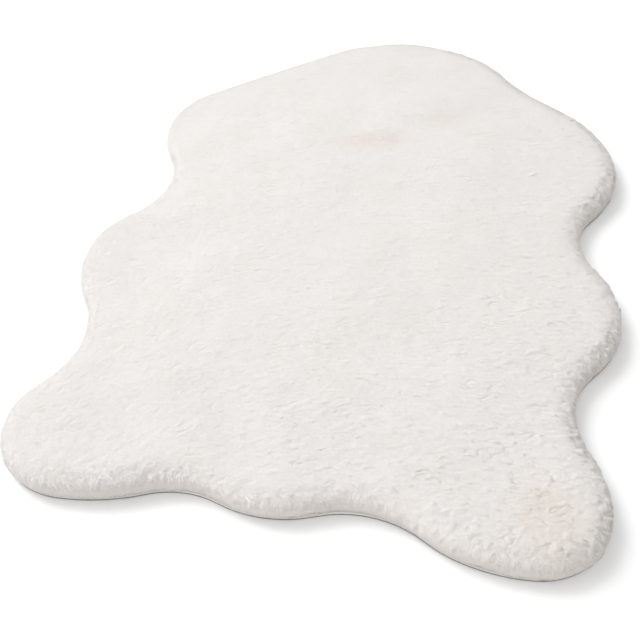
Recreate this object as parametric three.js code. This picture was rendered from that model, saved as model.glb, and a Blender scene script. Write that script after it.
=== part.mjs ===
// A faux fur rug in the outline of a sheepskin, lying flat on a floor.
//
// Millimetres, +Z up. +Y runs from the tail to the head and +X to the rug's own right side,
// seen from above with the head away from the viewer. The origin is on the floor, under the
// middle of the rug.
//
// The rug is two pieces: the fur pile, whose edge bulges over the floor and whose top is
// rounded off along the rim, and the flat backing under it, which shows as a thin lip.

import * as THREE from 'three';

// ---------------------------------------------------------------- driving sizes

const RUG_HEIGHT = 30;            // floor to the top of the pile
const BACKING_THICKNESS = 4;
const BACKING_INSET = 3;          // the lip's edge, in from the widest line of the pile
const BACKING_ROUNDING = 1;       // rounding of the lip's top and bottom edges
const LAYER_GAP = 0.3;            // between the backing and the pile
const ARC_STEP = THREE.MathUtils.degToRad(7.5);  // the most an outline turns between two points

const PILE_COLOUR = 0xede9e4;
const BACKING_COLOUR = 0xdad5cf;

// ---------------------------------------------------------------- outline

// The outline is a chain of round lobes, anticlockwise seen from above, at the widest line of
// the pile. Each row is one lobe and the join that runs on to the next. A hollow join curves
// inward, like the waist between two lobes. A full join curves outward and is flatter than the
// lobes it joins, like the blunt end of a leg. All arcs meet without a corner.
const HOLLOW = 1;
const FULL = -1;
const LOBES = [
  { name: 'head', x: 5, y: 285, radius: 165, join: HOLLOW, joinRadius: 1500 },
  { name: 'left shoulder', x: -160, y: 165, radius: 130, join: HOLLOW, joinRadius: 125 },
  { name: 'left hip', x: -168, y: -120, radius: 129, join: HOLLOW, joinRadius: 125 },
  { name: 'left leg', x: -205, y: -375, radius: 73, join: FULL, joinRadius: 200 },
  { name: 'left toe', x: -160, y: -357, radius: 80, join: HOLLOW, joinRadius: 80 },
  { name: 'tail', x: -18, y: -312, radius: 120, join: HOLLOW, joinRadius: 100 },
  { name: 'right toe', x: 185, y: -346, radius: 100, join: FULL, joinRadius: 160 },
  { name: 'right leg', x: 217, y: -379, radius: 70, join: FULL, joinRadius: 200 },
  { name: 'right thigh', x: 218, y: -348, radius: 60, join: HOLLOW, joinRadius: 110 },
  { name: 'right hip', x: 165, y: -120, radius: 132, join: HOLLOW, joinRadius: 105 },
  { name: 'right shoulder', x: 130, y: 160, radius: 164, join: HOLLOW, joinRadius: 300 },
];

// Cross-section of the pile's edge, from its underside up over the rim: inset is measured in
// from the widest line, and height up from the floor.
const PILE_SECTION = [
  { inset: 4, height: BACKING_THICKNESS + LAYER_GAP },
  { inset: 1.5, height: 7.5 },
  { inset: 0, height: 12.5 },
  { inset: 0.8, height: 17.5 },
  { inset: 3, height: 22 },
  { inset: 7, height: 25.4 },
  { inset: 13, height: 28 },
  { inset: 21, height: 29.3 },
  { inset: 33, height: RUG_HEIGHT },
];

/** Centre of the arc that joins one lobe to the next and touches both. */
function joinCentre(lobe, next) {
  const along = new THREE.Vector2(next.x - lobe.x, next.y - lobe.y);
  const distance = along.length();
  along.normalize();
  const outward = new THREE.Vector2(along.y, -along.x);
  const reach = lobe.joinRadius + lobe.join * lobe.radius;
  const nextReach = lobe.joinRadius + lobe.join * next.radius;
  const run = (reach ** 2 - nextReach ** 2 + distance ** 2) / (2 * distance);
  const rise = lobe.join * Math.sqrt(reach ** 2 - run ** 2);
  return new THREE.Vector2(lobe.x, lobe.y).addScaledVector(along, run).addScaledVector(outward, rise);
}

/** Direction of the line from one point to another, as an angle from +X. */
function heading(from, to) {
  return Math.atan2(to.y - from.y, to.x - from.x);
}

/** Where a lobe and a join touch, as an angle about the lobe's centre. */
function touchAngle(lobe, join) {
  return join.kind === HOLLOW ? heading(lobe, join.centre) : heading(join.centre, lobe);
}

/** One arc of the outline. growth is how its radius changes for each millimetre of inset. */
function arc(centre, radius, start, end, growth) {
  const sweep = Math.atan2(Math.sin(end - start), Math.cos(end - start));
  return { centre, radius, start, sweep, growth };
}

/** Every arc of the outline in order, each lobe followed by its join. */
function outlineArcs() {
  const joins = LOBES.map((lobe, i) => ({
    kind: lobe.join,
    centre: joinCentre(lobe, LOBES[(i + 1) % LOBES.length]),
  }));
  return LOBES.flatMap((lobe, i) => {
    const before = joins.at(i - 1);
    const join = joins[i];
    const next = LOBES[(i + 1) % LOBES.length];
    return [
      arc(lobe, lobe.radius, touchAngle(lobe, before), touchAngle(lobe, join), -1),
      arc(join.centre, lobe.joinRadius, heading(join.centre, lobe), heading(join.centre, next), join.kind),
    ];
  });
}

const OUTLINE_ARCS = outlineArcs();

/** Points of the outline drawn in by inset. Every inset has its points at the same angles. */
function outlinePoints(inset) {
  return OUTLINE_ARCS.flatMap(({ centre, radius, start, sweep, growth }) => {
    const steps = Math.ceil(Math.abs(sweep) / ARC_STEP);
    const drawn = radius + growth * inset;
    const curve = new THREE.ArcCurve(centre.x, centre.y, drawn, start, start + sweep, sweep < 0);
    return curve.getPoints(steps).slice(0, steps);
  });
}

// ---------------------------------------------------------------- pieces

/** A closed body through a stack of outlines, flat at its lowest and at its highest. */
function stackedBody(section) {
  const rings = section.map(({ inset }) => outlinePoints(inset));
  const count = rings[0].length;
  const positions = rings.flatMap((ring, level) =>
    ring.flatMap((point) => [point.x, point.y, section[level].height]));

  const faces = [];
  for (let level = 0; level < rings.length - 1; level += 1) {
    for (let i = 0; i < count; i += 1) {
      const near = level * count + i;
      const far = level * count + ((i + 1) % count);
      faces.push(near, far, far + count, near, far + count, near + count);
    }
  }
  const top = (rings.length - 1) * count;
  for (const [a, b, c] of THREE.ShapeUtils.triangulateShape(rings.at(0), [])) {
    faces.push(a, c, b);
  }
  for (const [a, b, c] of THREE.ShapeUtils.triangulateShape(rings.at(-1), [])) {
    faces.push(top + a, top + b, top + c);
  }

  const geometry = new THREE.BufferGeometry();
  geometry.setAttribute('position', new THREE.Float32BufferAttribute(positions, 3));
  geometry.setIndex(faces);
  geometry.computeVertexNormals();
  return geometry;
}

/** The fur: standing pile on its own cloth, rounded along the rim. */
function furPile() {
  const material = new THREE.MeshStandardMaterial({ color: PILE_COLOUR, roughness: 0.95, metalness: 0 });
  const mesh = new THREE.Mesh(stackedBody(PILE_SECTION), material);
  mesh.name = 'fur_pile';
  return mesh;
}

/** The backing: a flat sheet with slightly rounded edges, lying on the floor. */
function backing() {
  const sheet = new THREE.Shape(outlinePoints(BACKING_INSET));
  const geometry = new THREE.ExtrudeGeometry(sheet, {
    depth: BACKING_THICKNESS - 2 * BACKING_ROUNDING,
    bevelThickness: BACKING_ROUNDING,
    bevelSize: BACKING_ROUNDING,
    bevelOffset: -BACKING_ROUNDING,
    bevelSegments: 2,
  });
  geometry.translate(0, 0, BACKING_ROUNDING);
  const material = new THREE.MeshStandardMaterial({ color: BACKING_COLOUR, roughness: 0.9, metalness: 0 });
  const mesh = new THREE.Mesh(geometry, material);
  mesh.name = 'backing';
  return mesh;
}

const rug = new THREE.Group();
rug.add(backing(), furPile());

export default rug;
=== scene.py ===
"""Looks of the faux fur rug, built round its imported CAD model.

The CAD model gives the outline, the section of the edge and the heights, and this script reads
them from the frame. It makes the pile's body with its creases and tufts, the strands that cover
it and the backing, and then the materials, the floor, the light and the camera. Lengths are in
metres. +Y runs from the tail to the head, and +X to the rug's right side."""

import math

import bpy
import numpy as np
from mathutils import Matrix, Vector
from mathutils.geometry import delaunay_2d_cdt


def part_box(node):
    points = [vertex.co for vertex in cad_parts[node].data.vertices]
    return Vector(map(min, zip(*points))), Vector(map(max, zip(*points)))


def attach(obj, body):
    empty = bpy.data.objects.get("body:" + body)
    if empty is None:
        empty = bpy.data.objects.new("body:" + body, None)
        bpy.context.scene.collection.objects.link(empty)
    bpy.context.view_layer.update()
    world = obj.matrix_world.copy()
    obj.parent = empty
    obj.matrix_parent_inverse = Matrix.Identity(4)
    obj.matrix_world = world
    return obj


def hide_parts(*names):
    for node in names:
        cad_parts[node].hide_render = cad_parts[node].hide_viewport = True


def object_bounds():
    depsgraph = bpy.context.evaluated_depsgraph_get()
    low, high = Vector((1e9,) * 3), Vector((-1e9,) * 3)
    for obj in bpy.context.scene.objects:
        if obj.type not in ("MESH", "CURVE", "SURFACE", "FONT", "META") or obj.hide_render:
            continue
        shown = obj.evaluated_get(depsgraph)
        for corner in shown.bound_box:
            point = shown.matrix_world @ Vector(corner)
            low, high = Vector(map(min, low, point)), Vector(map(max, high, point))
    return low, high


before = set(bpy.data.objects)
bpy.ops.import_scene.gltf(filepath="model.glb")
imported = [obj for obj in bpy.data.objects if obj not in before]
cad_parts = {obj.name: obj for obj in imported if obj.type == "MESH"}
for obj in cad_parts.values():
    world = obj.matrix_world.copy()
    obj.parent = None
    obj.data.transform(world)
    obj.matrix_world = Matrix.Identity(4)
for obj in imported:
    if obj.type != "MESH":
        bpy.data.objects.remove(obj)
CAD_LOW, CAD_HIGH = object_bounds()

# ------------------------------------------------------------------ driving values

BODY = "root"

# Mesh sizes
OUTLINE_STEP = 0.0026        # between two points along the outline
SECTION_STEP = 0.0024        # between two points up the edge
TOP_STEP = 0.0026            # between two points of the flat top, and half of it along creases
CREASED = 0.15               # how strong a crease is where the finer points begin, from 0 to 1
RIM_SPACE = 0.7              # from the rim to the nearest point inside it, in steps
BACKING_STEP = 0.0005        # between two points up the backing's edge
UV_MARGIN = 0.01

# The strands lie over the pile's body, which is this much smaller than the CAD surface.
COVER = 0.0005
BODY_CLEARANCE = 0.0004      # the least that the pile's body stands above the backing
STRAND_CLEARANCE = 0.0002    # the same for a strand

# The strands. VARIATION is the least and the most of their lengths and widths, as shares.
STRANDS = 384_000
STRAND_PIECES = ("fur_strands_legs", "fur_strands_hips", "fur_strands_back", "fur_strands_head")
STRAND_LENGTH = 0.0038
SHORTEST_STRAND = 0.0001
STRAND_WIDTH = 0.0010
VARIATION = (0.7, 1.2)
STRAND_RIDGE = 0.00015       # how far a strand's middle line stands above its two edges
ROOT_LIFT = 0.0001           # a strand's root above the relief
TIP_LIFT = 0.0003            # the most that its tip is above it, on the flat and at the edge
EDGE_TIP_LIFT = 0.0004
FUZZ_SHARE = 0.08            # of the strands on the edge stand out from it
FUZZ_LIFT = 0.0015           # the most that their tips are above the others
FUZZ_NARROWING = 0.3         # how much narrower they are
CREASE_PULL = 0.5            # how much the creases' direction counts in a strand's, beside its fold
STRAY = 0.2                  # how far a strand usually strays from its direction, as a slope
CLUMP = 0.0045               # between the middles of neighbouring clumps
CLUMPING = 0.3               # how much a strand leans towards the middle of its clump
TIP_SPACE = 0.001            # a hanging strand ends this far above the backing, or near its root

# How the strands take the light
EDGE_SHADING = 0.6           # how much the edge's own slope shows in the strands' shading
STRAND_ROUNDNESS = 0.05      # how far the shading turns away at a strand's two edges
SHADING_SCATTER = 0.03       # how far the shading of a root or a tip is usually turned by chance
STRAND_TONE_AND_PAINTED_LIGHT = "strand_tone_and_painted_light"  # how dark each strand is: an attribute, 0 for the palest. It holds random tone, painted light and painted shade
USUAL_SHADE = 0.41           # it falls towards 0 on the rim towards the head and a little left: painted light there
PAINTED_LIGHT_SIDE = (-0.25, 0.85)    # the side whose rim gets that painted light: towards the head and a little left
SHADE_SCATTER = 0.09         # the most that one strand is darker than the next
PAINTED_GAP_SHADE = 0.36             # painted shade: how much darker a strand is that lies between the tufts

# The heights of the relief's shapes over the whole rug
SWELL = 0.0006
MOUNDS = 0.0002
CREASE_DEPTH = 0.0005
RIPPLES = 0.00007
PILLOWS = 0.00018
CURLS = 0.00006
BEADS = 0.0003
PILLOW_ROUNDING = 0.1        # how round the valleys between the pillows are
BEADS_ABOVE = 1.2            # a bead is a peak of its noise above this many deviations

# How rough the fine shapes and the creases are: a share in the middle of the rug, how fast it
# grows with each metre to the right and towards the tail, and its bounds
ROUGHENING = {"middle": 0.50, "right": 2.9, "tail": 2.0, "least": 0.26, "most": 1.9}
LEAST_CREASED = 0.7          # the least that this share is for the creases

# The creases' course
CREASE_WIDTH = 0.25          # as a share of the folds' usual height
CREASE_REACH = 0.05          # how far round its place a row of CREASE_LINES counts most
CREASE_WOBBLE = 0.12         # in radians

# The tufts along the rim
TUFT_SIZE = 0.0039
TUFT_FULLNESS = 0.4          # the more, the narrower the gaps between them
LOW_TUFTS = 0.0006           # their height away from TUFTED_PLACES
HIGH_TUFTS = 0.0014          # their height in the middle of such a place
SHADED_TUFTS = 0.0004        # the gaps between tufts no higher than this get no painted shade
TUFTED_SIDE = (0.9, 0.3)     # how much it counts for tufts to face right, and to face head or tail
TUFT_SINKING = 0.3           # how far the body lies lower under them, as a share of their height

# The backing
FOOT_INSET = 0.3             # how far the edge draws in at the floor, as a share of the CAD rounding
PAINTED_FOOT_SHADE_HEIGHT = 0.0015                # height of the painted shade along its foot, where it meets the floor

# Which way the creases run, in degrees from +X, at places (x, y) on the rug. The strands on the
# flat lie along the creases.
CREASE_LINES = (
    {"place": "head", "x": 0.0, "y": 0.30, "angle": 12},
    {"place": "shoulders", "x": 0.05, "y": 0.12, "angle": 10},
    {"place": "left side", "x": -0.20, "y": 0.10, "angle": 25},
    {"place": "back", "x": 0.0, "y": -0.10, "angle": 12},
    {"place": "right side", "x": 0.22, "y": -0.08, "angle": 2},
    {"place": "tail", "x": -0.02, "y": -0.36, "angle": 22},
    {"place": "left leg", "x": -0.20, "y": -0.36, "angle": 56},
    {"place": "right leg", "x": 0.17, "y": -0.33, "angle": 8},
    {"place": "right toe", "x": 0.24, "y": -0.41, "angle": 40},
)

# Where the rim is broken up into high round tufts, each place with its reach. Elsewhere the rim
# has low tufts, which fade out on the side that faces left.
TUFTED_PLACES = (
    {"place": "right shoulder", "x": 0.27, "y": 0.11, "reach": 0.07},
    {"place": "right hip", "x": 0.28, "y": -0.18, "reach": 0.05},
    {"place": "right thigh", "x": 0.25, "y": -0.30, "reach": 0.04},
    {"place": "right toe", "x": 0.29, "y": -0.40, "reach": 0.05},
)

# Faint warm tints in the fur: middle, half length, half width, and the angle of the length from +X
TINTED_PLACES = (
    {"place": "neck", "x": -0.015, "y": 0.165, "length": 0.070, "width": 0.030, "angle": 20,
     "tint": (0.960, 0.925, 0.880)},
    {"place": "right of the neck", "x": 0.065, "y": 0.230, "length": 0.040, "width": 0.030, "angle": 35,
     "tint": (0.985, 0.960, 0.930)},
    {"place": "right leg", "x": 0.230, "y": -0.400, "length": 0.050, "width": 0.060, "angle": 0,
     "tint": (0.980, 0.950, 0.905)},
)

# Colours. A tint multiplies the colour under it.
# The strands' colours are those of the palest strands, with painted light; a usual strand is darkened
# by SHADE_TINT at USUAL_SHADE.
STRAND_COLOURS = {"light": (0.798, 0.773, 0.762), "deep": (0.765, 0.740, 0.729)}
# The ground's colours are a little darker than a usual strand's: painted shade under the strands.
GROUND_COLOURS = {"light": (0.682, 0.657, 0.638), "deep": (0.658, 0.633, 0.614)}
SHADE_TINT = (0.702, 0.684, 0.654)    # of a strand whose shade is 1; through it the strands get their random tone, painted shade and painted light
PATCH_TINT = (0.990, 0.985, 0.978)    # of soft patches all over the pile
PAINTED_WALL_SHADE = (1.0, 0.977, 0.955)       # painted warm shade down the rug's edge, fading out at the left
KNIT_LIGHT = (0.74, 0.71, 0.68)
KNIT_DEEP = (0.64, 0.61, 0.58)
KNIT_TINT = (0.93, 0.92, 0.90)        # of soft patches all over the backing
# painted shade, nearly black, along the backing's foot
PAINTED_FOOT_SHADE = (0.090, 0.084, 0.080)
FLOOR_NEAR = (0.86, 0.86, 0.86)
FLOOR_FAR = (0.97, 0.97, 0.97)

# Fine bumps and knitting
GROUND_BUMPS = 0.0003        # height of the bumps on the pile's body, between the strands
KNIT_BUMPS = 0.0003
COURSE = 0.0016              # from one row of stitches to the next
WALE = 0.0020                # from one column of stitches to the next

# The camera. It looks along +Y, turned by the azimuth towards -X and by the elevation down.
VIEW_AZIMUTH = math.radians(11.7)
VIEW_ELEVATION = math.radians(42)
VIEW_DISTANCE = 1.08
VIEW_TARGET = Vector((-0.018, -0.1615, 0.0))
LENS = 56.25
SENSOR = 36.0


# ------------------------------------------------------------------ the CAD model's lines


def vertices(node):
    """A node's vertices as an (n, 3) array."""
    flat = np.empty(len(node.data.vertices) * 3, np.float32)
    node.data.vertices.foreach_get("co", flat)
    return flat.reshape(-1, 3).astype(float)


def widest_loop(node):
    """The plan points of a CAD node's vertices at the height where it is widest, in order and
    anticlockwise."""
    places = np.round(vertices(node), 6)
    places, merged = np.unique(places, axis=0, return_inverse=True)
    merged = merged.ravel()
    height = places[places[:, 0].argmax(), 2]
    ends = np.empty(len(node.data.edges) * 2, np.int32)
    node.data.edges.foreach_get("vertices", ends)
    neighbours = {}
    for a, b in merged[ends].reshape(-1, 2):
        if a != b and places[a, 2] == height and places[b, 2] == height:
            neighbours.setdefault(a, set()).add(b)
            neighbours.setdefault(b, set()).add(a)
    first = min(neighbours)
    loop, here = [first], min(neighbours[first])
    while here != first:
        loop.append(here)
        here = next(n for n in neighbours[here] if n != loop[-2])
    loop = places[loop, :2]
    after = np.roll(loop, -1, 0)
    turns = (loop[:, 0] * after[:, 1] - after[:, 0] * loop[:, 1]).sum()
    return loop if turns > 0 else loop[::-1]


def edge_section(node):
    """The section of a node's edge, from its underside up: (inset from the widest line, height)."""
    places = np.round(vertices(node), 6)
    heights = np.unique(places[:, 2])
    reach = np.array([places[places[:, 2] == h, 0].max() for h in heights])
    return np.stack([reach.max() - reach, heights], 1)


def through(points, closed, parts=16):
    """Fine points on the smooth curve through some points, so many parts from one to the next."""
    if closed:
        before, after = np.roll(points, 1, 0), np.roll(points, -1, 0)
    else:
        before = np.vstack([2 * points[:1] - points[1:2], points[:-1]])
        after = np.vstack([points[1:], 2 * points[-1:] - points[-2:-1]])
    back = np.linalg.norm(points - before, axis=1)[:, None]
    ahead = np.linalg.norm(after - points, axis=1)[:, None]
    slope = ((after - points) / ahead * back + (points - before) / back * ahead) / (back + ahead)
    if closed:
        pairs = (points, after, slope, np.roll(slope, -1, 0), ahead)
    else:
        pairs = (points[:-1], points[1:], slope[:-1], slope[1:], ahead[:-1])
    start, end, leaving, arriving, length = (p[:, None] for p in pairs)
    t = np.linspace(0, 1, parts, endpoint=False)[None, :, None]
    fine = (
        start * (2 * t**3 - 3 * t**2 + 1)
        + end * (3 * t**2 - 2 * t**3)
        + leaving * length * (t**3 - 2 * t**2 + t)
        + arriving * length * (t**3 - t**2)
    ).reshape(-1, points.shape[1])
    return fine if closed else np.vstack([fine, points[-1:]])


def evenly(points, step, closed):
    """The same line with points about one step apart."""
    line = np.vstack([points, points[:1]]) if closed else points
    run = np.concatenate([[0], np.cumsum(np.linalg.norm(np.diff(line, axis=0), axis=1))])
    at = np.linspace(0, run[-1], round(run[-1] / step) + 1)
    at = at[:-1] if closed else at
    return np.stack([np.interp(at, run, axis) for axis in line.T], 1)


PILE_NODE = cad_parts["fur_pile"]
BACKING_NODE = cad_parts["backing"]
FLOOR_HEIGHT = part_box("backing")[0].z
BACKING_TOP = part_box("backing")[1].z

outline = evenly(through(widest_loop(PILE_NODE), True), OUTLINE_STEP, True)
along = np.roll(outline, -1, 0) - np.roll(outline, 1, 0)
along /= np.linalg.norm(along, axis=1)[:, None]
outward = np.stack([along[:, 1], -along[:, 0]], 1)


# ------------------------------------------------------------------ relief over the rug's plan

# Everything that varies over the rug is worked out on a fine grid over its plan. On the wall of
# the pile the plan is unrolled: it runs on outward by the wall's own length.
CELL = 0.001
PLAN_MARGIN = 0.05
PLAN_LOW = np.array(CAD_LOW[:2]) - PLAN_MARGIN
PLAN_SIZE = np.ceil((np.array(CAD_HIGH[:2]) + PLAN_MARGIN - PLAN_LOW) / CELL).astype(int)
plan_x, plan_y = np.meshgrid(*(low + CELL * np.arange(n) for low, n in zip(PLAN_LOW, PLAN_SIZE)))


def smooth_noise(rng, length, width, angle=0.0):
    """Random heights on the plan with deviation 1, in blobs of that length, at an angle, and width."""
    fy, fx = np.meshgrid(
        np.fft.fftfreq(PLAN_SIZE[1], CELL), np.fft.rfftfreq(PLAN_SIZE[0], CELL), indexing="ij"
    )
    lengthways = (fx * math.cos(angle) + fy * math.sin(angle)) * length
    widthways = (fy * math.cos(angle) - fx * math.sin(angle)) * width
    white = np.fft.rfft2(rng.standard_normal(PLAN_SIZE[::-1]))
    noise = np.fft.irfft2(white * np.exp(-4 * (lengthways**2 + widthways**2)), PLAN_SIZE[::-1])
    return noise / noise.std()


def read(grid, plan):
    """A plan grid's value at each plan point."""
    at = (plan - PLAN_LOW) / CELL
    cell = np.clip(np.floor(at).astype(int), 0, PLAN_SIZE - 2)
    share = np.clip(at - cell, 0, 1)
    (x, y), (sx, sy) = cell.T, share.T
    low = grid[y, x] * (1 - sx) + grid[y, x + 1] * sx
    high = grid[y + 1, x] * (1 - sx) + grid[y + 1, x + 1] * sx
    return low * (1 - sy) + high * sy


def crease_angles(rng):
    """The creases' direction over the plan: near each row of CREASE_LINES its own, with a wobble."""
    cosine, sine = np.zeros_like(plan_x), np.zeros_like(plan_x)
    for row in CREASE_LINES:
        near = 1 / ((plan_x - row["x"]) ** 2 + (plan_y - row["y"]) ** 2 + CREASE_REACH**2) ** 2
        cosine += near * math.cos(2 * math.radians(row["angle"]))
        sine += near * math.sin(2 * math.radians(row["angle"]))
    return np.arctan2(sine, cosine) / 2 + CREASE_WOBBLE * smooth_noise(rng, length=0.04, width=0.04)


def turned_noise(rng, length, width, angles, turns=8, sharpness=12):
    """Noise whose blobs lie along the angles over the plan. At each place it is mostly the noise of
    the few turns that come nearest to the angle there."""
    total, power = np.zeros_like(angles), np.zeros_like(angles)
    for turn in np.arange(turns) * math.pi / turns:
        share = np.abs(np.cos(angles - turn)) ** sharpness
        total += share * smooth_noise(rng, length, width, turn)
        power += share**2
    return total / np.sqrt(power)


def bounded(x, low, high):
    """0 below low, 1 above high and a soft step between."""
    t = np.clip((x - low) / (high - low), 0, 1)
    return t * t * (3 - 2 * t)


def tufted(facing):
    """How much of TUFTS there is where the surface faces that way: all of it on a rim that faces
    right, less towards the head and the tail, and none on the flat top, a sheer wall or the left."""
    level = np.linalg.norm(facing[:, :2], axis=1)
    away = TUFTED_SIDE[0] * facing[:, 0] + TUFTED_SIDE[1] * np.abs(facing[:, 1])
    away = away / np.maximum(level, 0.01)
    return bounded(level, 0.05, 0.3) * (1 - bounded(level, 0.92, 1.0)) * bounded(away, -0.5, 0.7)


def relief(plan, facing):
    """The relief at plan points where the surface faces that way: its heights, and its slopes east
    and north."""
    share = tufted(facing)
    grids = ((RELIEF, TUFTS), (SLOPE_X, TUFT_SLOPE_X), (SLOPE_Y, TUFT_SLOPE_Y))
    return [(read(all_over, plan) + share * read(tufts, plan))[:, None] for all_over, tufts in grids]


# The shapes of the relief. The creases run in patches along the lines where the folds pass through
# 0. Pillows are ripples with round tops and narrow valleys.
rng = np.random.default_rng(11)
angles = crease_angles(rng)
folds = turned_noise(rng, length=0.016, width=0.0055, angles=angles)
ripples = turned_noise(rng, length=0.0078, width=0.0044, angles=angles)
patches = smooth_noise(rng, length=0.011, width=0.008)
creases = np.exp(-((folds / CREASE_WIDTH) ** 2)) * bounded(patches, 0.3, 1.1)
swell = smooth_noise(rng, length=0.06, width=0.06)
mounds = smooth_noise(rng, length=0.026, width=0.018)
pillows = np.sqrt(ripples**2 + PILLOW_ROUNDING)
curls = smooth_noise(rng, length=0.0045, width=0.0024)
beads = np.maximum(smooth_noise(rng, length=0.003, width=0.0025) - BEADS_ABOVE, 0)
growth = np.exp(ROUGHENING["right"] * plan_x - ROUGHENING["tail"] * plan_y)
roughened = np.clip(ROUGHENING["middle"] * growth, ROUGHENING["least"], ROUGHENING["most"])
fine = RIPPLES * ripples + PILLOWS * pillows + CURLS * curls + BEADS * beads
crease_depth = CREASE_DEPTH * np.maximum(roughened, LEAST_CREASED)
RELIEF = SWELL * swell + MOUNDS * mounds + roughened * fine - crease_depth * creases
SLOPE_Y, SLOPE_X = np.gradient(RELIEF, CELL)

# Round tufts, and how much painted shade the gaps between them get: most between high ones
tuft_height = np.full_like(plan_x, LOW_TUFTS)
for row in TUFTED_PLACES:
    distance = np.hypot(plan_x - row["x"], plan_y - row["y"])
    away = bounded(distance, 0.2 * row["reach"], 1.3 * row["reach"])
    tuft_height += (HIGH_TUFTS - LOW_TUFTS) * (1 - away)
tuft_noise = smooth_noise(rng, length=TUFT_SIZE, width=TUFT_SIZE)
TUFTS = tuft_height * np.sqrt(np.maximum(tuft_noise + TUFT_FULLNESS, 0))
gap_share = bounded(tuft_height, SHADED_TUFTS, HIGH_TUFTS)
TUFT_GAP_PAINTED_SHADE = (1 - bounded(TUFTS / tuft_height, 0.2, 0.8)) * gap_share
TUFT_SLOPE_Y, TUFT_SLOPE_X = np.gradient(TUFTS, CELL)

# Which way the strands lie: along the folds, and pulled towards the creases' own direction
fold_y, fold_x = np.gradient(folds, CELL)
steepness = np.hypot(fold_x, fold_y)
same_way = np.sign(fold_x * np.sin(angles) - fold_y * np.cos(angles)) / steepness
LAY_X = CREASE_PULL * np.cos(angles) - same_way * fold_y
LAY_Y = CREASE_PULL * np.sin(angles) + same_way * fold_x


# ------------------------------------------------------------------ pile body


NO_POINTS = np.empty((0, 2))


def flattened(points, inner, step):
    """Triangles over the inside of a closed loop of plan points, between its points and any inner
    ones. None of the points, which are about a step apart, may fall together."""
    ring = [(i, (i + 1) % len(points)) for i in range(len(points))]
    every = [Vector(p) for p in np.vstack([points, inner])]
    found = delaunay_2d_cdt(every, ring, [], 1, step * 1e-3)
    assert len(found[0]) == len(every)
    return np.array(found[2])


def inner_grid(rim, step):
    """Points of a triangular grid inside the rim, at least most of a step away from it. Along the
    creases the grid is twice as fine."""
    low, high = rim.min(0), rim.max(0)
    fine = step / 2
    rise = fine * math.sqrt(3) / 2
    rows = []
    for k, y in enumerate(np.arange(low[1] + rise, high[1], rise)):
        x = np.arange(low[0] + (k % 2) * fine / 2, high[0], fine)
        row = np.stack([x, np.full(len(x), y)], 1)
        coarse = (k % 2 == 0) & ((np.arange(len(x)) + k // 2) % 2 == 0)
        row = row[coarse | (read(creases, row) > CREASED)]
        gap = row[:, None] - rim[None]
        near = (gap**2).sum(2).argmin(1)
        depth = -(gap[np.arange(len(row)), near] * outward[near]).sum(1)
        rows.append(row[depth > RIM_SPACE * step])
    return np.vstack(rows)


def unit(v):
    """Vectors in the same directions with length 1."""
    return v / np.linalg.norm(v, axis=-1, keepdims=True)


# The columns of the pile's surface, which has a row for each vertex: its place, its normal, its
# point on the unrolled plan, and where the plan's x and y run there
PLACE, NORMAL, PLAN, EAST, NORTH = slice(0, 3), slice(3, 6), slice(6, 8), slice(8, 11), slice(11, 14)


def pile_surface():
    """The pile's body before its relief and without its underside: its vertices and its triangles."""
    section = evenly(through(edge_section(PILE_NODE), False), SECTION_STEP, False)
    rise = np.gradient(section, axis=0)
    normal = unit(np.stack([rise[:, 1], rise[:, 0]], 1))       # (outward, up)
    section = section + COVER * np.stack([normal[:, 0], -normal[:, 1]], 1)
    section[:, 1] = np.maximum(section[:, 1], BACKING_TOP + BODY_CLEARANCE)
    run = np.concatenate([[0], np.cumsum(np.linalg.norm(np.diff(section, axis=0), axis=1))])
    unrolled = section[-1, 0] - (run[-1] - run)

    rows = []
    for (inset, height), (out, up), flat_inset in zip(section, normal, unrolled):
        ring = outline - outward * inset
        flat = outline - outward * flat_inset
        place = np.column_stack([ring, np.full(len(ring), height)])
        facing = np.column_stack([outward * out, np.full(len(ring), up)])
        down = np.column_stack([outward * up, np.full(len(ring), -out)])
        sideways = np.column_stack([along, np.zeros(len(ring))])
        east = outward[:, :1] * down + along[:, :1] * sideways
        north = outward[:, 1:] * down + along[:, 1:] * sideways
        rows.append(np.hstack([place, facing, flat, east, north]))
    count, levels = len(outline), len(rows)
    wall = np.vstack(rows)
    i = np.arange(count)
    j = (i + 1) % count
    faces = []
    for level in range(levels - 1):
        a, b = level * count + i, level * count + j
        faces += [np.stack([a, b, b + count], 1), np.stack([a, b + count, a + count], 1)]

    # The flat top joins on to the wall's last ring.
    rim = rows[-1][:, :2]
    grid = inner_grid(rim, TOP_STEP)
    top = np.empty((len(grid), wall.shape[1]))
    top[:, PLACE] = np.column_stack([grid, np.full(len(grid), section[-1, 1])])
    top[:, NORMAL] = (0, 0, 1)
    top[:, PLAN] = grid
    top[:, EAST] = (1, 0, 0)
    top[:, NORTH] = (0, 1, 0)
    cover = flattened(rim, grid, TOP_STEP)
    faces.append(cover + (levels - 1) * count)
    return np.vstack([wall, top]), np.vstack(faces)


def mesh_object(name, points, faces):
    """A smooth mesh object from arrays. faces is a list of (n, k) arrays of vertex numbers."""
    mesh = bpy.data.meshes.new(name)
    mesh.vertices.add(len(points))
    mesh.vertices.foreach_set("co", points.astype(np.float32).ravel())
    corners = np.concatenate([f.ravel() for f in faces])
    sizes = np.concatenate([np.full(len(f), f.shape[1]) for f in faces])
    mesh.loops.add(len(corners))
    mesh.loops.foreach_set("vertex_index", corners.astype(np.int32))
    mesh.polygons.add(len(sizes))
    starts = np.concatenate([[0], np.cumsum(sizes)[:-1]])
    mesh.polygons.foreach_set("loop_start", starts.astype(np.int32))
    mesh.update(calc_edges=True)
    mesh.polygons.foreach_set("use_smooth", np.full(len(sizes), True))
    piece = bpy.data.objects.new(name, mesh)
    bpy.context.scene.collection.objects.link(piece)
    return piece


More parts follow.
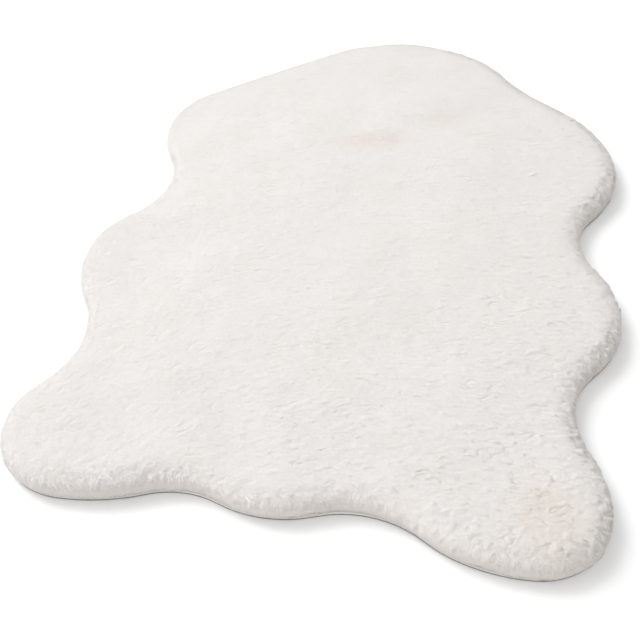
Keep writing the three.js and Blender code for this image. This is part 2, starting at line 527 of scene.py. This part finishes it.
def map_plan(piece, plan):
    """Gives a piece a UV map named OFBake, in which its plan points fill the square."""
    low, high = plan.min(0), plan.max(0)
    uv = UV_MARGIN + (1 - 2 * UV_MARGIN) * (plan - low) / (high - low)
    corners = np.empty(len(piece.data.loops), np.int32)
    piece.data.loops.foreach_get("vertex_index", corners)
    layer = piece.data.uv_layers.new(name="OFBake")
    layer.uv.foreach_set("vector", uv[corners].astype(np.float32).ravel())


surface, triangles = pile_surface()
place, normal, plan = surface[:, PLACE], surface[:, NORMAL], surface[:, PLAN]


def pile_body():
    """The closed body of the pile, with its relief and a flat underside."""
    height, _, _ = relief(plan, normal)
    sunk = TUFT_SINKING * read(tuft_height, plan) * tufted(normal)
    raised = place + normal * (height - sunk[:, None])
    raised[:, 2] = np.maximum(raised[:, 2], BACKING_TOP + BODY_CLEARANCE)

    # The lowest ring stays level, and the underside closes it.
    count = len(outline)
    raised[:count] = place[:count]
    underside = flattened(raised[:count, :2], NO_POINTS, OUTLINE_STEP)[:, ::-1]
    piece = mesh_object("fur_pile_body", raised, [triangles, underside])
    map_plan(piece, plan)
    return piece


# ------------------------------------------------------------------ strands


def scattered(rng, count):
    """Strand roots spread evenly over the pile's surface: rows like those of surface."""
    corner, second, third = (place[triangles[:, k]] for k in range(3))
    area = np.linalg.norm(np.cross(second - corner, third - corner), axis=1)
    expected = area / area.sum() * count
    copies = np.floor(expected + rng.random(len(expected))).astype(int)
    chosen = triangles[np.repeat(np.arange(len(triangles)), copies)]
    a, b = rng.random((2, len(chosen), 1))
    over = a + b > 1
    a, b = np.where(over, 1 - a, a), np.where(over, 1 - b, b)
    corner, second, third = (surface[chosen[:, k]] for k in range(3))
    return corner + a * (second - corner) + b * (third - corner)


def clump_centres(rng, plan, size):
    """For each plan point the nearest of a scatter of centres, one to a square of that size."""
    columns = (PLAN_SIZE * CELL / size).astype(int) + 2
    squares = np.stack(np.meshgrid(*map(np.arange, columns)), -1)
    centres = (squares + rng.random((*columns[::-1], 2))) * size
    cell = np.clip(((plan - PLAN_LOW) / size).astype(int), 1, columns - 2)
    best, found = np.full(len(plan), np.inf), np.zeros_like(plan)
    for dx in (-1, 0, 1):
        for dy in (-1, 0, 1):
            centre = centres[cell[:, 1] + dy, cell[:, 0] + dx] + PLAN_LOW
            gap = ((centre - plan) ** 2).sum(1)
            nearer = gap < best
            best[nearer] = gap[nearer]
            found[nearer] = centre[nearer]
    return found


def strands(rng):
    """The strands' four corners (left, ridge, right, tip), their normals, their plan points and
    each strand's shade."""
    roots = scattered(rng, STRANDS)
    count = len(roots)
    at, facing, plan = roots[:, PLACE], roots[:, NORMAL], roots[:, PLAN]
    up, east, north = unit(facing), unit(roots[:, EAST]), unit(roots[:, NORTH])

    # Each strand lies along a fold, one way or the other, and outward where the edge turns down.
    # It leans a little towards the middle of its clump.
    lay = unit(np.stack([read(LAY_X, plan), read(LAY_Y, plan)], 1)) * rng.choice([-1, 1], (count, 1))
    lay = lay + STRAY * rng.standard_normal((count, 2))
    turned_down = np.linalg.norm(facing[:, :2], axis=1)[:, None]
    gap = (clump_centres(rng, plan, CLUMP) - plan) / CLUMP
    lay = unit(lay * (1 - turned_down) + facing[:, :2] + gap * CLUMPING)
    along_lay = east * lay[:, :1] + north * lay[:, 1:]

    # A strand that points down ends above the backing.
    length = STRAND_LENGTH * rng.uniform(*VARIATION, count)[:, None]
    drop = np.maximum(-along_lay[:, 2:], 0.001)
    length = np.minimum(length, (at[:, 2:] - BACKING_TOP - TIP_SPACE) / drop).clip(SHORTEST_STRAND)

    # The root and the tip both lie just above the relief, and the tip of a fuzz strand higher.
    low, *root_slope = relief(plan, up)
    high, *tip_slope = relief(plan + lay * length, up)
    lift = TIP_LIFT + (EDGE_TIP_LIFT - TIP_LIFT) * bounded(turned_down, 0.1, 0.7)
    fuzz = (rng.random((count, 1)) < FUZZ_SHARE) * bounded(turned_down, 0.1, 0.5)
    lift = (lift + FUZZ_LIFT * fuzz) * rng.random((count, 1))
    tip = at + along_lay * length + up * (high + lift)
    at = at + up * (low + ROOT_LIFT)

    # The shading follows the relief. The slope of the edge itself shows less in it, apart from where
    # the edge is sheer.
    level_share = 1 - (1 - EDGE_SHADING) * bounded(up[:, 2:], 0.0, 0.3)
    soft = unit(up * np.hstack([level_share, level_share, np.ones_like(level_share)]))
    shading = [unit(soft - east * slope[0] - north * slope[1]) for slope in (root_slope, tip_slope)]

    # A strand is two triangles that meet along its ridge.
    run = unit(tip - at)
    side = unit(np.cross(run, up))
    ridge = at + np.cross(side, run) * STRAND_RIDGE
    width = STRAND_WIDTH * rng.uniform(*VARIATION, count)[:, None] / 2 * (1 - FUZZ_NARROWING * fuzz)
    corners = np.stack([at - side * width, ridge, at + side * width, tip], 1)
    corners[:, :, 2] = np.maximum(corners[:, :, 2], BACKING_TOP + STRAND_CLEARANCE)
    tilt = STRAND_ROUNDNESS * side
    shading = [unit(n + SHADING_SCATTER * rng.standard_normal((count, 1)) * side) for n in shading]
    normals = unit(np.stack([shading[0] - tilt, shading[0], shading[0] + tilt, shading[1]], 1))

    # Where the corners are on the plan, and how dark the strand is: its random tone, painted light on
    # the rim towards the head and a little left, and painted shade between the tufts
    drift = corners - at[:, None]
    flat = plan[:, None] + np.stack([(drift * way[:, None]).sum(2) for way in (east, north)], 2)
    painted_rim_light = bounded(PAINTED_LIGHT_SIDE[1] * up[:, 1] + PAINTED_LIGHT_SIDE[0] * up[:, 0], 0.0, 0.6)
    painted_rim_light = painted_rim_light * bounded(up[:, 2], 0.0, 0.25)
    shade = USUAL_SHADE * (1 - painted_rim_light) + SHADE_SCATTER * rng.random(count)
    shade = shade + PAINTED_GAP_SHADE * tufted(up) * read(TUFT_GAP_PAINTED_SHADE, plan)
    return corners, normals, flat, shade


def strand_pieces():
    """The strands as joined meshes, one for each of STRAND_PIECES from the tail to the head."""
    rng = np.random.default_rng(23)
    corners, normals, flat, shade = strands(rng)
    order = np.argsort(corners[:, 0, 1], kind="stable")
    pieces = []
    for name, members in zip(STRAND_PIECES, np.array_split(order, len(STRAND_PIECES))):
        first = np.arange(len(members))[:, None] * 4
        faces = np.stack([first + [0, 1, 3], first + [1, 2, 3]], 1).reshape(-1, 3)
        piece = mesh_object(name, corners[members].reshape(-1, 3), [faces])
        map_plan(piece, flat[members].reshape(-1, 2))
        piece.data.normals_split_custom_set_from_vertices(normals[members].reshape(-1, 3))
        layer = piece.data.attributes.new(STRAND_TONE_AND_PAINTED_LIGHT, "FLOAT", "POINT")
        layer.data.foreach_set("value", np.repeat(shade[members], 4).astype(np.float32))
        pieces.append(piece)
    return pieces


# ------------------------------------------------------------------ backing


def backing_sheet():
    """The backing: a flat sheet with a soft edge."""
    section = edge_section(BACKING_NODE)
    inset = vertices(PILE_NODE)[:, 0].max() - vertices(BACKING_NODE)[:, 0].max()
    section[section[:, 1] < section[:, 1].mean(), 0] *= FOOT_INSET
    section = evenly(section + (inset, 0), BACKING_STEP, False)
    count = len(outline)
    rings = (np.column_stack([outline - outward * depth, np.full(count, z)]) for depth, z in section)
    points = np.vstack(list(rings))
    i = np.arange(count)
    j = (i + 1) % count
    faces = []
    for level in range(len(section) - 1):
        faces.append(np.stack([i, j, j + count, i + count], 1) + level * count)
    under = flattened(points[:count, :2], NO_POINTS, OUTLINE_STEP)[:, ::-1]
    over = flattened(points[-count:, :2], NO_POINTS, OUTLINE_STEP) + (len(section) - 1) * count
    return mesh_object("backing_sheet", points, [*faces, under, over])


# ------------------------------------------------------------------ materials


def new_material(name):
    """A material with its nodes, its links and its shader."""
    material = bpy.data.materials.new(name)
    material.use_nodes = True
    nodes = material.node_tree.nodes
    shader = nodes["Principled BSDF"]
    shader.inputs["Roughness"].default_value = 0.9
    return material, nodes, material.node_tree.links, shader


def noise(nodes, links, place, scale, detail=2.0):
    """The value of a noise texture."""
    texture = nodes.new("ShaderNodeTexNoise")
    texture.inputs["Scale"].default_value = scale
    texture.inputs["Detail"].default_value = detail
    links.new(place, texture.inputs["Vector"])
    return texture.outputs["Fac"]


def stripes(nodes, links, place, direction, period):
    """The value of a wave texture, with that many metres from stripe to stripe."""
    texture = nodes.new("ShaderNodeTexWave")
    texture.bands_direction = direction
    texture.inputs["Scale"].default_value = math.pi / 10 / period
    texture.inputs["Distortion"].default_value = 0.6
    texture.inputs["Detail Scale"].default_value = 0.4
    links.new(place, texture.inputs["Vector"])
    return texture.outputs["Fac"]


def between(nodes, links, value, start, end, low=0.0, high=1.0):
    """A value taken from start and end to low and high, softly at both."""
    step = nodes.new("ShaderNodeMapRange")
    step.interpolation_type = "SMOOTHSTEP"
    for name, number in (("From Min", start), ("From Max", end), ("To Min", low), ("To Max", high)):
        step.inputs[name].default_value = number
    links.new(value, step.inputs["Value"])
    return step.outputs["Result"]


def product(nodes, links, first, second):
    """The product of two values."""
    step = nodes.new("ShaderNodeMath")
    step.operation = "MULTIPLY"
    links.new(first, step.inputs[0])
    links.new(second, step.inputs[1])
    return step.outputs["Value"]


def mixed(nodes, links, factor, first, second, blend="MIX"):
    """Two colours mixed or multiplied by a factor. The first may be a node's colour."""
    mix = nodes.new("ShaderNodeMix")
    mix.data_type = "RGBA"
    mix.blend_type = blend
    mix.inputs["B"].default_value = (*second, 1)
    if isinstance(first, tuple):
        mix.inputs["A"].default_value = (*first, 1)
    else:
        links.new(first, mix.inputs["A"])
    links.new(factor, mix.inputs["Factor"])
    return mix.outputs["Result"]


def bumped(nodes, links, height, distance, shader):
    """Gives a shader bumps in the form of a height value, about that distance high in metres."""
    bump = nodes.new("ShaderNodeBump")
    bump.inputs["Strength"].default_value = 0.5
    bump.inputs["Distance"].default_value = distance
    links.new(height, bump.inputs["Height"])
    links.new(bump.outputs["Normal"], shader.inputs["Normal"])


def nearness(nodes, links, place, row):
    """1 in the middle of a row of TINTED_PLACES and 0 outside it."""
    mapping = nodes.new("ShaderNodeMapping")
    mapping.vector_type = "TEXTURE"
    mapping.inputs["Location"].default_value = (row["x"], row["y"], 0)
    mapping.inputs["Rotation"].default_value = (0, 0, math.radians(row["angle"]))
    mapping.inputs["Scale"].default_value = (row["length"], row["width"], 1)
    links.new(place, mapping.inputs["Vector"])
    distance = nodes.new("ShaderNodeVectorMath")
    distance.operation = "LENGTH"
    links.new(mapping.outputs["Vector"], distance.inputs[0])
    return between(nodes, links, distance.outputs["Value"], start=0.25, end=1.0, low=1.0, high=0.0)


def fur_material(name, light, deep, bumps=None):
    """Warm white fibre, which differs a little from strand to strand and from patch to patch. Down
    the rug's edge it has painted warm shade, and it is warmer in the tinted places. With bumps, which
    is their height, it is the ground between the strands, and without them it is the strands, each
    with its own shade: its random tone, painted light on one rim and painted shade between tufts."""
    material, nodes, links, shader = new_material(name)
    shader.inputs["Sheen Weight"].default_value = 0.36
    shader.inputs["Sheen Roughness"].default_value = 0.6
    shader.inputs["Specular IOR Level"].default_value = 0.15
    place = nodes.new("ShaderNodeTexCoord").outputs["Object"]
    axes = nodes.new("ShaderNodeSeparateXYZ")
    links.new(place, axes.inputs["Vector"])

    fibre = noise(nodes, links, place, scale=320, detail=3.0)
    colour = mixed(nodes, links, between(nodes, links, fibre, start=0.25, end=0.75), deep, light)
    # Each strand's own shade: its random tone, painted light on one rim and painted shade between the
    # tufts
    if not bumps:
        strand = nodes.new("ShaderNodeAttribute")
        strand.attribute_name = STRAND_TONE_AND_PAINTED_LIGHT
        colour = mixed(nodes, links, strand.outputs["Fac"], colour, SHADE_TINT, "MULTIPLY")
    patch = between(nodes, links, noise(nodes, links, place, scale=14), start=0.35, end=0.75)
    colour = mixed(nodes, links, patch, colour, PATCH_TINT, "MULTIPLY")
    # Painted warm shade down the rug's edge, apart from its left end
    down = between(nodes, links, axes.outputs["Z"], start=0.026, end=0.012)
    right = between(nodes, links, axes.outputs["X"], start=-0.28, end=-0.14)
    colour = mixed(nodes, links, product(nodes, links, down, right), colour, PAINTED_WALL_SHADE, "MULTIPLY")
    for row in TINTED_PLACES:
        uneven = between(nodes, links, noise(nodes, links, place, scale=75), start=0.20, end=0.55)
        share = product(nodes, links, nearness(nodes, links, place, row), uneven)
        colour = mixed(nodes, links, share, colour, row["tint"], "MULTIPLY")
    links.new(colour, shader.inputs["Base Color"])
    roughness = between(nodes, links, fibre, start=0.3, end=0.7, low=1.0, high=0.86)
    links.new(roughness, shader.inputs["Roughness"])
    if bumps:
        bumped(nodes, links, noise(nodes, links, place, scale=1100), bumps, shader)
    return material


def backing_material():
    """Knitted cloth, with its courses and wales, and painted shade along its foot where it meets the
    floor.
    """
    material, nodes, links, shader = new_material("backing_knit")
    shader.inputs["Sheen Weight"].default_value = 0.15
    shader.inputs["Specular IOR Level"].default_value = 0.2
    place = nodes.new("ShaderNodeTexCoord").outputs["Object"]
    courses = stripes(nodes, links, place, "Y", COURSE)
    wales = stripes(nodes, links, place, "X", WALE)
    knit = product(nodes, links, courses, wales)
    uneven = noise(nodes, links, place, scale=30)
    colour = mixed(nodes, links, knit, KNIT_DEEP, KNIT_LIGHT)
    colour = mixed(nodes, links, uneven, colour, KNIT_TINT, "MULTIPLY")
    # Painted shade, nearly black, along the foot of the edge, in place of the dark line where the rug
    # meets the floor
    axes = nodes.new("ShaderNodeSeparateXYZ")
    links.new(place, axes.inputs["Vector"])
    painted_foot_shade_mask = between(nodes, links, axes.outputs["Z"], start=1.4 * PAINTED_FOOT_SHADE_HEIGHT, end=0.6 * PAINTED_FOOT_SHADE_HEIGHT)
    colour = mixed(nodes, links, painted_foot_shade_mask, colour, PAINTED_FOOT_SHADE)
    links.new(colour, shader.inputs["Base Color"])
    roughness = between(nodes, links, uneven, start=0.3, end=0.7, low=0.80, high=0.95)
    links.new(roughness, shader.inputs["Roughness"])
    bumped(nodes, links, knit, KNIT_BUMPS, shader)
    return material


# ------------------------------------------------------------------ stage


def add_floor():
    """A wide plain floor, a little lighter far from the rug."""
    bpy.ops.mesh.primitive_plane_add(size=60, location=(0, 0, FLOOR_HEIGHT))
    floor = bpy.context.object
    floor.name = "floor"
    material, nodes, links, shader = new_material("floor_white")
    shader.inputs["Specular IOR Level"].default_value = 0.0
    distance = nodes.new("ShaderNodeVectorMath")
    distance.operation = "LENGTH"
    links.new(nodes.new("ShaderNodeTexCoord").outputs["Object"], distance.inputs[0])
    far = between(nodes, links, distance.outputs["Value"], start=0.8, end=4.0)
    colour = mixed(nodes, links, far, FLOOR_NEAR, FLOOR_FAR)
    links.new(colour, shader.inputs["Base Color"])
    floor.data.materials.append(material)


def add_sun(name, towards, energy, angle):
    """A light of even strength from far away. Its angle is how wide it is in the sky."""
    sun = bpy.data.objects.new(name, bpy.data.lights.new(name, "SUN"))
    sun.data.energy = energy
    sun.data.angle = math.radians(angle)
    sun.rotation_euler = Vector(towards).to_track_quat("Z", "Y").to_euler()
    bpy.context.scene.collection.objects.link(sun)


def add_panel(name, towards, distance, size, power):
    """A square studio panel that faces the middle of the rug."""
    panel = bpy.data.objects.new(name, bpy.data.lights.new(name, "AREA"))
    panel.data.size = size
    panel.data.energy = power
    panel.location = Vector(towards).normalized() * distance
    panel.rotation_euler = Vector(towards).to_track_quat("Z", "Y").to_euler()
    bpy.context.scene.collection.objects.link(panel)


def add_light():
    """A white studio that is brightest near the horizon, two broad suns and the key panel."""
    world = bpy.data.worlds.new("studio")
    bpy.context.scene.world = world
    world.use_nodes = True
    nodes, links = world.node_tree.nodes, world.node_tree.links
    direction = nodes.new("ShaderNodeSeparateXYZ")
    links.new(nodes.new("ShaderNodeTexCoord").outputs["Generated"], direction.inputs["Vector"])
    up = direction.outputs["Z"]
    strength = between(nodes, links, up, start=0.05, end=0.45, low=1.0, high=0.38)
    nodes["Background"].inputs["Color"].default_value = (1, 1, 1, 1)
    links.new(strength, nodes["Background"].inputs["Strength"])
    add_sun("overhead", (-0.75, 0.10, 1.0), energy=0.72, angle=50)
    add_sun("fill", (0.05, -1.0, 1.4), energy=1.30, angle=40)
    add_panel("key", (-0.80, 0.30, 0.95), distance=2.9, size=1.7, power=58)


def add_camera():
    """The camera, at the driving values' angle and distance."""
    back = Vector((
        math.sin(VIEW_AZIMUTH) * math.cos(VIEW_ELEVATION),
        -math.cos(VIEW_AZIMUTH) * math.cos(VIEW_ELEVATION),
        math.sin(VIEW_ELEVATION),
    ))
    camera = bpy.data.objects.new("camera", bpy.data.cameras.new("camera"))
    camera.location = VIEW_TARGET + back * VIEW_DISTANCE
    camera.rotation_euler = (-back).to_track_quat("-Z", "Y").to_euler()
    camera.data.lens = LENS
    camera.data.sensor_width = SENSOR
    bpy.context.scene.collection.objects.link(camera)
    bpy.context.scene.camera = camera


add_camera()
add_light()
add_floor()

body = pile_body()
body.data.materials.append(fur_material("fur_ground", **GROUND_COLOURS, bumps=GROUND_BUMPS))
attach(body, BODY)
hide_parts("fur_pile")

fur = fur_material("fur_strand", **STRAND_COLOURS)
covering = strand_pieces()
for piece in covering:
    piece.data.materials.append(fur)
    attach(piece, BODY)

sheet = backing_sheet()
sheet.data.materials.append(backing_material())
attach(sheet, BODY)
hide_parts("backing")

bpy.context.scene.view_settings.view_transform = "Standard"
